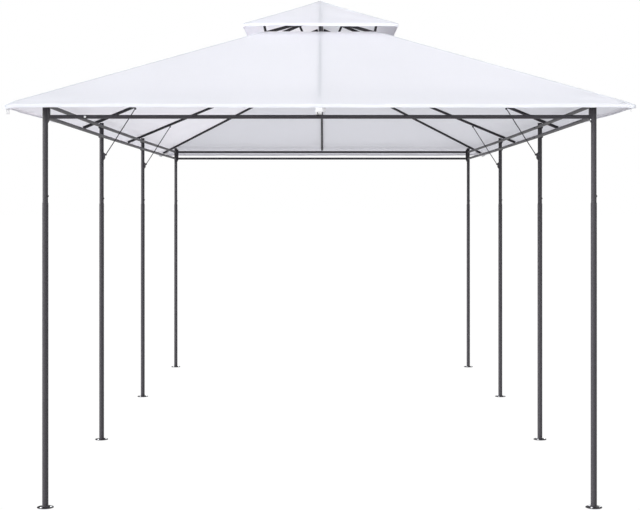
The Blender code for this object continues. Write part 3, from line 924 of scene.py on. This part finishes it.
class GAZEBO_OT_pockets(bpy.types.Operator):
    """Sew the pockets that hold the rafter ends, and the loops at the corners."""

    bl_idname = "gazebo.pockets"
    bl_label = "Pockets and Loops"

    def execute(self, context):
        tier = main_tier()
        pockets, loops = Shell(), Shell()
        for x_sign, y_sign in CORNERS:
            self.pocket(pockets, tier, x_sign, y_sign)
            self.corner_loop(loops, x_sign, y_sign)
        pockets.piece("corner_pockets", "white_tape")
        loops.piece("corner_loops", "grey_webbing")
        return {"FINISHED"}

    def pocket(self, shell, tier, x_sign, y_sign):
        """Cloth sling under a hip rafter's end, sewn to the roof cloth at its sides and outer end."""
        start, finish = HIP_OUT.x - 0.010, tier.edge_x - 0.009
        across = Vector((y_sign * HIP_RUN, -x_sign)).normalized()
        deep = 2 * RAFTER_RADIUS * SLOPE + 0.0026
        thickness = 0.0009
        rows = []
        for i in range(15):
            ring = start + (finish - start) * i / 14
            place = Vector(hip_place(ring, x_sign, y_sign))
            past_tube = min(max((finish - ring) / (finish - HIP_OUT.x), 0.0), 1.0)
            half = min(0.040, 0.8 * (tier.edge_x - ring) * HIP_SLANT)
            inner, outer = [], []
            for j in range(13):
                w = -1.0 + j / 6.0
                spot = place + across * (half * w)
                hang = deep * past_tube ** 0.7 * (1.0 - abs(w) ** 2.4) + 0.0009
                z = tier.height(*spot) - hang
                inner.append(Vector((spot.x, spot.y, z)))
                outer.append(Vector((spot.x, spot.y, z - thickness)))
            rows.append(inner + outer[::-1])
        shell.grid(rows)

    def corner_loop(self, shell, x_sign, y_sign):
        """Webbing loop that hangs from a roof corner, by which the cloth is pulled over the frame."""
        flat_on = x_sign * y_sign > 0
        turn = math.radians(12.0 if flat_on else 78.0)
        across = Vector((math.cos(turn), math.sin(turn), 0.0))
        out = Vector((-across.y, across.x, 0.0))
        corner = Vector((*hip_place(LOOP_X, x_sign, y_sign), MAIN_HEM_Z))
        half = 0.0060 if flat_on else 0.0030
        drop = 0.0100 if y_sign > 0 else 0.0180 if x_sign > 0 else 0.0290
        route = [(-0.6, 0.0175), (-1.0, -0.2 * drop), (-0.75, -0.75 * drop), (0.0, -drop),
                 (0.75, -0.75 * drop), (1.0, -0.2 * drop), (0.6, 0.0175)]
        points = [corner + out * (half * share) + Vector((0.0, 0.0, up)) for share, up in route]
        # The loop's grey webbing is painted shade
        webbing(shell, curved(points, 5), across, 0.016, 0.0013)


class GAZEBO_OT_centre_tie(bpy.types.Operator):
    """Tie the middle of the front hem to the lower beam with a strap and its hook."""

    bl_idname = "gazebo.centre_tie"
    bl_label = "Centre Tie"

    def execute(self, context):
        strap, tab, hook = Shell(), Shell(), Shell()
        route = [(0.1575, 0.0460), (0.1570, 0.0360), (0.1500, 0.0285), (0.0900, 0.0215), (0.0300, 0.0148),
                 (0.0060, 0.0112), (-0.0060, 0.0106), (-0.0120, 0.0045), (-0.0120, -0.0040)]
        line = [self.place(-0.0040, out, up) for out, up in route]
        webbing(strap, curved(line, 6), (1.0, 0.0, 0.0), 0.030, 0.0011)
        # Tab beside the strap over the rafter's end; its grey is painted shade
        edge = [(-0.0190, 0.1540), (0.0080, 0.1550), (0.0180, 0.1520), (0.0300, 0.1420)]
        line = [self.place(x, out, 0.0245) for x, out in edge]
        webbing(tab, curved(line, 5), (0.0, 0.0, 1.0), 0.024, 0.0011)
        path = [(-0.0105, 0.0780, 0.0178), (-0.0095, 0.0600, 0.0150), (-0.0075, 0.0350, 0.0105),
                (-0.0055, 0.0150, 0.0065), (-0.0045, 0.0118, -0.0010), (-0.0045, 0.0095, -0.0080)]
        rod(hook, curved([self.place(*stop) for stop in path], 6), 0.0016, 8)
        tab.piece("centre_tab", "grey_webbing")
        strap.piece("centre_tie", "white_tape")
        hook.piece("centre_tie_hook", "frame_powder_coat")
        return {"FINISHED"}

    def place(self, x, out, up):
        """Place measured outwards and upwards from the middle of the lower front beam."""
        return Vector((x, -CORNER_POST.y - out, LOWER_BEAM_Z + up))


# Fasteners

def dome_head(shell, base, axis, radius):
    """Add a domed bolt head on a thin washer."""
    turned(shell, [(radius * 1.25, 0.0), (radius * 1.25, 0.0007), (radius * 1.15, 0.0009)], base, axis, 20)
    outline = [(radius, 0.0008), (radius, 0.0014)]
    outline += [(radius * math.cos(a), 0.0014 + radius * 0.52 * math.sin(a)) for a in (0.35, 0.7, 1.05, 1.35)]
    turned(shell, outline, base, axis, 20)


def hex_head(shell, base, axis, radius=0.0055, height=0.0036):
    """Add a hexagonal head or nut with chamfered corners on a washer."""
    turned(shell, [(radius * 1.35, 0.0), (radius * 1.35, 0.0010), (radius * 1.25, 0.0013)], base, axis, 24)
    outline = [(radius * 0.94, 0.0012), (radius, 0.0017), (radius, height - 0.0002),
               (radius * 0.86, height + 0.0008)]
    turned(shell, outline, base, axis, 6)


def bolt_end(shell, base, axis, radius=0.0030, length=0.0066):
    """Add the threaded end of a bolt that stands out of its nut."""
    turned(shell, [(radius, 0.0), (radius, length - 0.0006), (radius * 0.8, length)], base, axis, 14)


def each_post():
    """Place of each of the eight posts, whether it is a corner post, and its sides."""
    for x_sign, y_sign in CORNERS:
        yield Vector((x_sign * CORNER_POST.x, y_sign * CORNER_POST.y, 0.0)), True, x_sign, y_sign
        yield Vector((x_sign * MIDDLE_POST.x, y_sign * MIDDLE_Y, 0.0)), False, x_sign, y_sign


class GAZEBO_OT_post_fittings(bpy.types.Operator):
    """Add the welds and bolts of the foot plates and the bolts of the tube joints."""

    bl_idname = "gazebo.post_fittings"
    bl_label = "Post Fittings"

    def execute(self, context):
        welds, plated, painted = Shell(), Shell(), Shell()
        weld = [(0.0149, 0.0002), (0.0212, 0.0002), (0.0202, 0.0010), (0.0180, 0.0022), (0.0162, 0.0042),
                (0.0152, 0.0066), (0.0149, 0.0068)]
        for post, *_ in each_post():
            turned(welds, weld, post + Vector((0, 0, FOOT_PLATE_THICKNESS)), (0, 0, 1), 32)
            for i in range(3):
                turn = i * 2 * math.pi / 3
                spot = post + Vector((math.cos(turn), math.sin(turn), 0.0)) * (FOOT_RADIUS * 0.72)
                spot.z = FOOT_PLATE_THICKNESS
                hex_head(plated, spot, (0, 0, 1))
            joint = post + Vector((UPPER_TUBE_RADIUS - SEAT, 0.0, TUBE_JOINT_Z + 0.032))
            dome_head(painted, joint, (1, 0, 0), 0.0045)
        welds.piece("foot_welds", "frame_powder_coat")
        plated.piece("foot_bolts", "zinc_plate")
        painted.piece("tube_joint_bolts", "frame_powder_coat")
        return {"FINISHED"}


class GAZEBO_OT_beam_fittings(bpy.types.Operator):
    """Bolt the beams to the posts' brackets and to the middle posts."""

    bl_idname = "gazebo.beam_fittings"
    bl_label = "Beam Fittings"

    def execute(self, context):
        plated, painted = Shell(), Shell()
        reach = (CORNER_POST.x - BEAM_END_X + UPPER_TUBE_RADIUS) / 2
        for post, is_corner, x_sign, y_sign in each_post():
            if is_corner:
                foot_bolt = plated if x_sign > 0 else painted
                for inward, face in (((-x_sign, 0, 0), (0, y_sign, 0)), ((0, -y_sign, 0), (x_sign, 0, 0))):
                    self.bracket_bolts(painted, foot_bolt, post, Vector(inward), Vector(face), reach)
            else:
                self.beam_bolts(painted, post, x_sign)
        for y_sign in ENDS:
            for x, shell in ((-END_BEAM_BOLT_X, plated), (END_BEAM_BOLT_X, painted)):
                for z in (LOWER_BEAM_Z, UPPER_BEAM_Z):
                    spot = Vector((x, y_sign * (CORNER_POST.y + BEAM_RADIUS - SEAT), z))
                    dome_head(shell, spot, (0, y_sign, 0), 0.0046)
        plated.piece("beam_bolts", "zinc_plate")
        painted.piece("bracket_bolts", "frame_powder_coat")
        return {"FINISHED"}

    def beam_bolts(self, shell, post, x_sign):
        """Bolts through a middle post and its two beams."""
        for z in (LOWER_BEAM_Z, UPPER_BEAM_Z):
            inside = Vector((x_sign * (SIDE_BEAM_X - BEAM_RADIUS + SEAT), post.y, z))
            dome_head(shell, inside, (-x_sign, 0, 0), 0.0048)
            outside = Vector((x_sign * (MIDDLE_POST.x + UPPER_TUBE_RADIUS - SEAT), post.y, z))
            hex_head(shell, outside, (x_sign, 0, 0), 0.0050)
            bolt_end(shell, outside, (x_sign, 0, 0))

    def bracket_bolts(self, shell, foot_bolt, post, inward, face, reach):
        """Bolts through one bracket: two at the beams and one at its foot."""
        out = face * (BRACKET_HALF_WIDTH - SEAT)
        for z in (LOWER_BEAM_Z, UPPER_BEAM_Z):
            middle = post + inward * reach + Vector((0, 0, z))
            dome_head(shell, middle + out, face, 0.0038)
            hex_head(shell, middle - out, -face, 0.0036, 0.0028)
        low = post + inward * (reach - 0.0020) + Vector((0, 0, BRACKET_LOW_Z + 0.0150))
        dome_head(foot_bolt, low + out, face, 0.0028)


class GAZEBO_OT_roof_fittings(bpy.types.Operator):
    """Add the hub bolts, brace ends, tube plugs and ridge caps."""

    bl_idname = "gazebo.roof_fittings"
    bl_label = "Roof Fittings"

    def execute(self, context):
        bolts, plugs, braces, caps = Shell(), Shell(), Shell(), Shell()
        rafters = [(HIP_IN, HIP_OUT, corner) for corner in CORNERS]
        rafters += [(SIDE_IN, SIDE_OUT, corner) for corner in CORNERS]
        rafters += [(END_IN, END_OUT, (1, y_sign)) for y_sign in ENDS]
        for inner, outer, corner in rafters:
            turn = Vector((*corner, 1.0))
            for lift in (0.0, VENT_RISE):
                self.hub_bolt(bolts, inner * turn, outer * turn, lift)
            self.plug(plugs, inner * turn, outer * turn)
        for x_sign, y_sign in CORNERS:
            self.brace_ends(braces, x_sign, y_sign)
        for y_sign in ENDS:
            self.ridge_cap(caps, y_sign)
        bolts.piece("hub_bolts", "frame_powder_coat")
        plugs.piece("tube_end_plugs", "frame_powder_coat")
        braces.piece("brace_fittings", "frame_powder_coat")
        caps.piece("ridge_end_caps", "frame_powder_coat")
        return {"FINISHED"}

    def hub_bolt(self, shell, inner, outer, lift):
        """Bolt across a rafter close to its hub, its head on one side and its nut on the other."""
        run = (outer - inner).normalized()
        across = run.cross(Vector((0.0, 0.0, 1.0))).normalized()
        middle = inner + run * 0.020 + Vector((0.0, 0.0, lift))
        dome_head(shell, middle + across * (RAFTER_RADIUS - 0.0003), across, 0.0040)
        hex_head(shell, middle - across * (RAFTER_RADIUS - 0.0003), -across, 0.0038, 0.0028)

    def plug(self, shell, inner, outer):
        """Rounded plug in the outer end of a rafter."""
        profile = ((0.80, -0.004), (0.80, 0.0001), (0.985, 0.0001), (0.985, 0.0009), (0.86, 0.0018),
                   (0.5, 0.0023))
        outline = [(RAFTER_RADIUS * share, height) for share, height in profile]
        turned(shell, outline, outer, (outer - inner).normalized(), 24)

    def brace_ends(self, shell, x_sign, y_sign):
        """Flat eyes and bolts at both ends of a brace."""
        node = f"brace_{'back' if y_sign > 0 else 'front'}_{'right' if x_sign > 0 else 'left'}"
        low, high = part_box(node)
        outer_x = high.x if x_sign > 0 else low.x
        inner_x = low.x if x_sign > 0 else high.x
        y = y_sign * MIDDLE_Y
        for x, z in ((outer_x - x_sign * 0.003, low.z + 0.002), (inner_x + x_sign * 0.003, high.z - 0.004)):
            for face in ENDS:
                turned(shell, [(0.0062, 0.0), (0.0062, 0.0008), (0.0056, 0.0012)], (x, y + face * 0.0026, z),
                       (0, face, 0), 20)
                dome_head(shell, Vector((x, y + face * 0.0036, z)), (0, face, 0), 0.0034)

    def ridge_cap(self, shell, y_sign):
        """Low pointed cap on a ridge end, which the top cloth rests on."""
        base = Vector((0.0, y_sign * RIDGE_HALF_LENGTH, HIP_APEX_Z + VENT_RISE))
        outline = [(0.0225, 0.0090), (0.0230, 0.0096), (0.0200, 0.0110), (0.0120, 0.0146), (0.0050, 0.0176),
                   (0.0015, 0.0186)]
        turned(shell, outline, base, (0, 0, 1), 32)


class GAZEBO_PT_panel(bpy.types.Panel):
    """Buttons and settings of the gazebo."""

    bl_label = "Garden Gazebo"
    bl_idname = "GAZEBO_PT_panel"
    bl_space_type = "VIEW_3D"
    bl_region_type = "UI"
    bl_category = "Gazebo"

    def draw(self, context):
        for operator in OPERATORS:
            self.layout.operator(operator.bl_idname)
        for group in (context.scene.gazebo_stage, context.scene.gazebo_canopy, context.scene.gazebo_finish):
            box = self.layout.box()
            for name in group.bl_rna.properties.keys():
                if name not in ("rna_type", "name"):
                    box.prop(group, name)


OPERATORS = (
    GAZEBO_OT_stage,
    GAZEBO_OT_frame_finish,
    GAZEBO_OT_pockets,
    GAZEBO_OT_main_canopy,
    GAZEBO_OT_top_canopy,
    GAZEBO_OT_centre_tie,
    GAZEBO_OT_post_fittings,
    GAZEBO_OT_beam_fittings,
    GAZEBO_OT_roof_fittings,
)
GROUPS = (GazeboStage, GazeboCanopy, GazeboFinish)


def register():
    """Register the classes and the scene's settings."""
    for item in (*GROUPS, *OPERATORS, GAZEBO_PT_panel):
        bpy.utils.register_class(item)
    bpy.types.Scene.gazebo_stage = PointerProperty(type=GazeboStage)
    bpy.types.Scene.gazebo_canopy = PointerProperty(type=GazeboCanopy)
    bpy.types.Scene.gazebo_finish = PointerProperty(type=GazeboFinish)


def unregister():
    """Remove the scene's settings and the classes."""
    del bpy.types.Scene.gazebo_finish
    del bpy.types.Scene.gazebo_canopy
    del bpy.types.Scene.gazebo_stage
    for item in reversed((*GROUPS, *OPERATORS, GAZEBO_PT_panel)):
        bpy.utils.unregister_class(item)


def main():
    """Dress the gazebo."""
    register()
    bpy.ops.gazebo.stage()
    bpy.ops.gazebo.frame_finish()
    bpy.ops.gazebo.pockets()
    bpy.ops.gazebo.main_canopy()
    bpy.ops.gazebo.top_canopy()
    bpy.ops.gazebo.centre_tie()
    bpy.ops.gazebo.post_fittings()
    bpy.ops.gazebo.beam_fittings()
    bpy.ops.gazebo.roof_fittings()
    bpy.context.view_layer.update()


if __name__ == "__main__":
    main()
